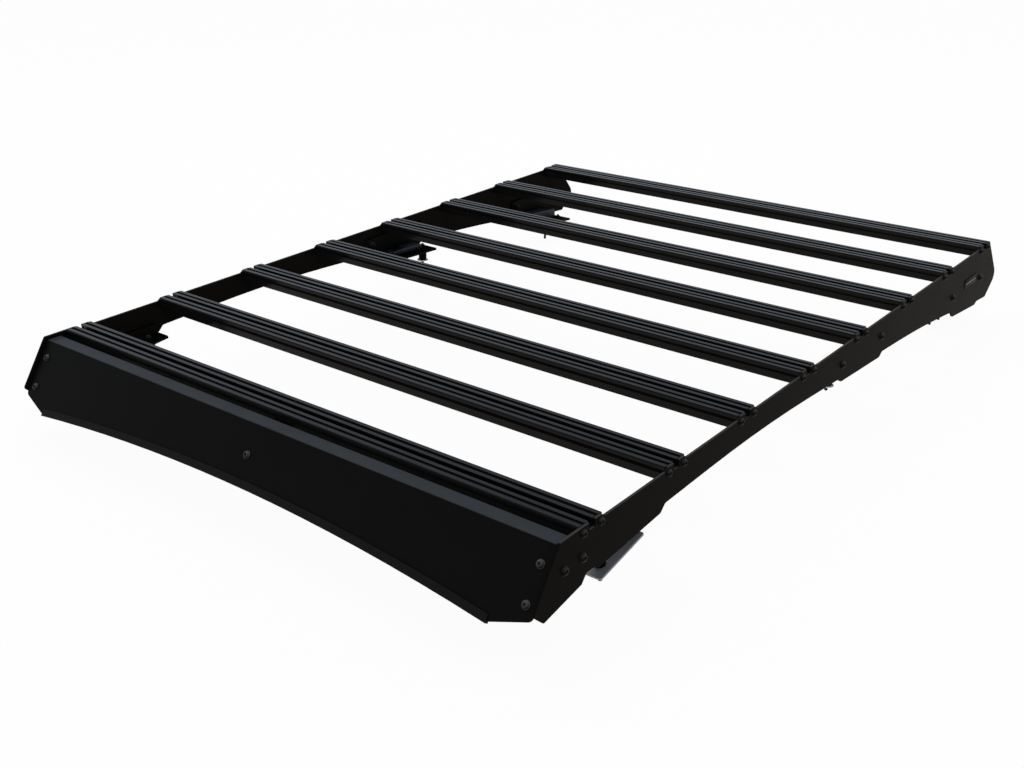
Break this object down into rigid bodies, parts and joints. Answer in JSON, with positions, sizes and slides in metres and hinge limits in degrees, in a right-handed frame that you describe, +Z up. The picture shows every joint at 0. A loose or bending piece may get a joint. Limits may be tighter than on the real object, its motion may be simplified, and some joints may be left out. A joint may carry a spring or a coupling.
{
  "type": "flat platform roof rack",
  "caption": "Low flat roof rack of T-slot aluminium slats bolted between two plate side rails, on bracket feet with studs, with a sloping wind deflector along its front edge.",
  "frame": {"origin": "middle of the rack's length and width, at the level of its lowest stud ends", "axes": "+X to the right of someone facing the front edge from behind it, +Y from the deflector towards the rear, +Z up"},
  "size_m": [1.142, 1.6418, 0.1679],
  "materials": {
    "black_slats": "satin",
    "black_rails": "satin",
    "black_deflector": "satin",
    "black_brackets": "satin",
    "black_studs": "satin",
    "bare_steel": "satin",
    "rubber_trim": "matte"
  },
  "bodies": {
    "root": {"slat_1": "black_slats", "slat_2": "black_slats", "slat_3": "black_slats", "slat_4": "black_slats", "slat_5": "black_slats", "slat_6": "black_slats", "slat_7": "black_slats", "slat_8": "black_slats", "side_rail_left": "black_rails", "side_rail_right": "black_rails", "front_foot_bracket_left": "black_brackets", "front_foot_studs_left": "black_studs", "front_foot_bracket_right": "black_brackets", "front_foot_studs_right": "black_studs", "middle_foot_bracket_left": "black_brackets", "middle_foot_studs_left": "black_studs", "middle_foot_bracket_right": "black_brackets", "middle_foot_studs_right": "black_studs", "rear_foot_bracket_left": "black_brackets", "rear_foot_studs_left": "black_studs", "rear_foot_bracket_right": "black_brackets", "rear_foot_studs_right": "black_studs", "middle_foot_bar_left": "bare_steel", "middle_foot_bar_right": "bare_steel", "rear_foot_bar_left": "bare_steel", "rear_foot_bar_right": "bare_steel", "front_foot_base_plate_left": "bare_steel", "front_foot_base_plate_right": "bare_steel", "wind_deflector": "black_deflector", "deflector_edge_trim": "rubber_trim", "deflector_bracket_left": "black_brackets", "deflector_bracket_right": "black_brackets", "deflector_strut": "black_brackets"}
  },
  "joints": []
}
